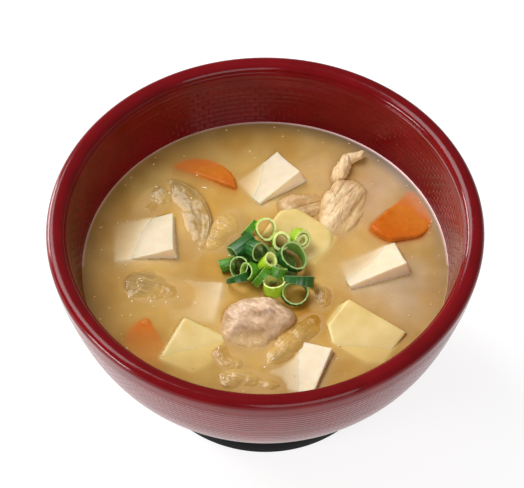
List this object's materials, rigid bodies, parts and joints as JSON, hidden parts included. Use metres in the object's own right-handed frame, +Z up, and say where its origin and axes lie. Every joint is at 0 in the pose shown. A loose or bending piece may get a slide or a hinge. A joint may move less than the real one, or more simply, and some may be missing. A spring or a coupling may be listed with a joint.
{
  "type": "miso soup with pork and vegetables in a bowl",
  "caption": "Red lacquered soup bowl with a black foot ring, filled with cloudy miso soup, tofu, potato, carrot, pork and onion, topped with a heap of sliced spring onion.",
  "frame": {"origin": "centre of the foot ring on the table", "axes": "+Z up out of the bowl, -Y towards whoever eats from it, X to their right"},
  "size_m": [0.1298, 0.1298, 0.0673],
  "materials": {
    "lacquer": "glossy red lacquer on a moulded resin body, with fine woven relief on the walls and a black foot",
    "broth": "cloudy tan miso soup, wet",
    "tofu": "soft cream tofu, wet",
    "potato": "boiled yellow potato, wet",
    "carrot": "boiled orange carrot, wet",
    "pork": "boiled grey-pink pork, fibrous",
    "onion": "translucent boiled onion, ribbed and wet",
    "spring_onion": "raw green spring onion, darker outside and pale inside"
  },
  "bodies": {
    "root": {"bowl": "lacquer", "soup": "broth", "tofu_1": "tofu", "tofu_2": "tofu", "tofu_3": "tofu", "tofu_4": "tofu", "tofu_5": "tofu", "potato_1": "potato", "potato_2": "potato", "potato_3": "potato", "carrot_1": "carrot", "carrot_2": "carrot", "pork_1": "pork", "pork_2": "pork", "onion_1": "onion", "onion_2": "onion", "onion_3": "onion", "onion_4": "onion", "onion_5": "onion", "onion_6": "onion", "onion_7": "onion", "onion_8": "onion", "spring_onion": "spring_onion"}
  },
  "joints": []
}
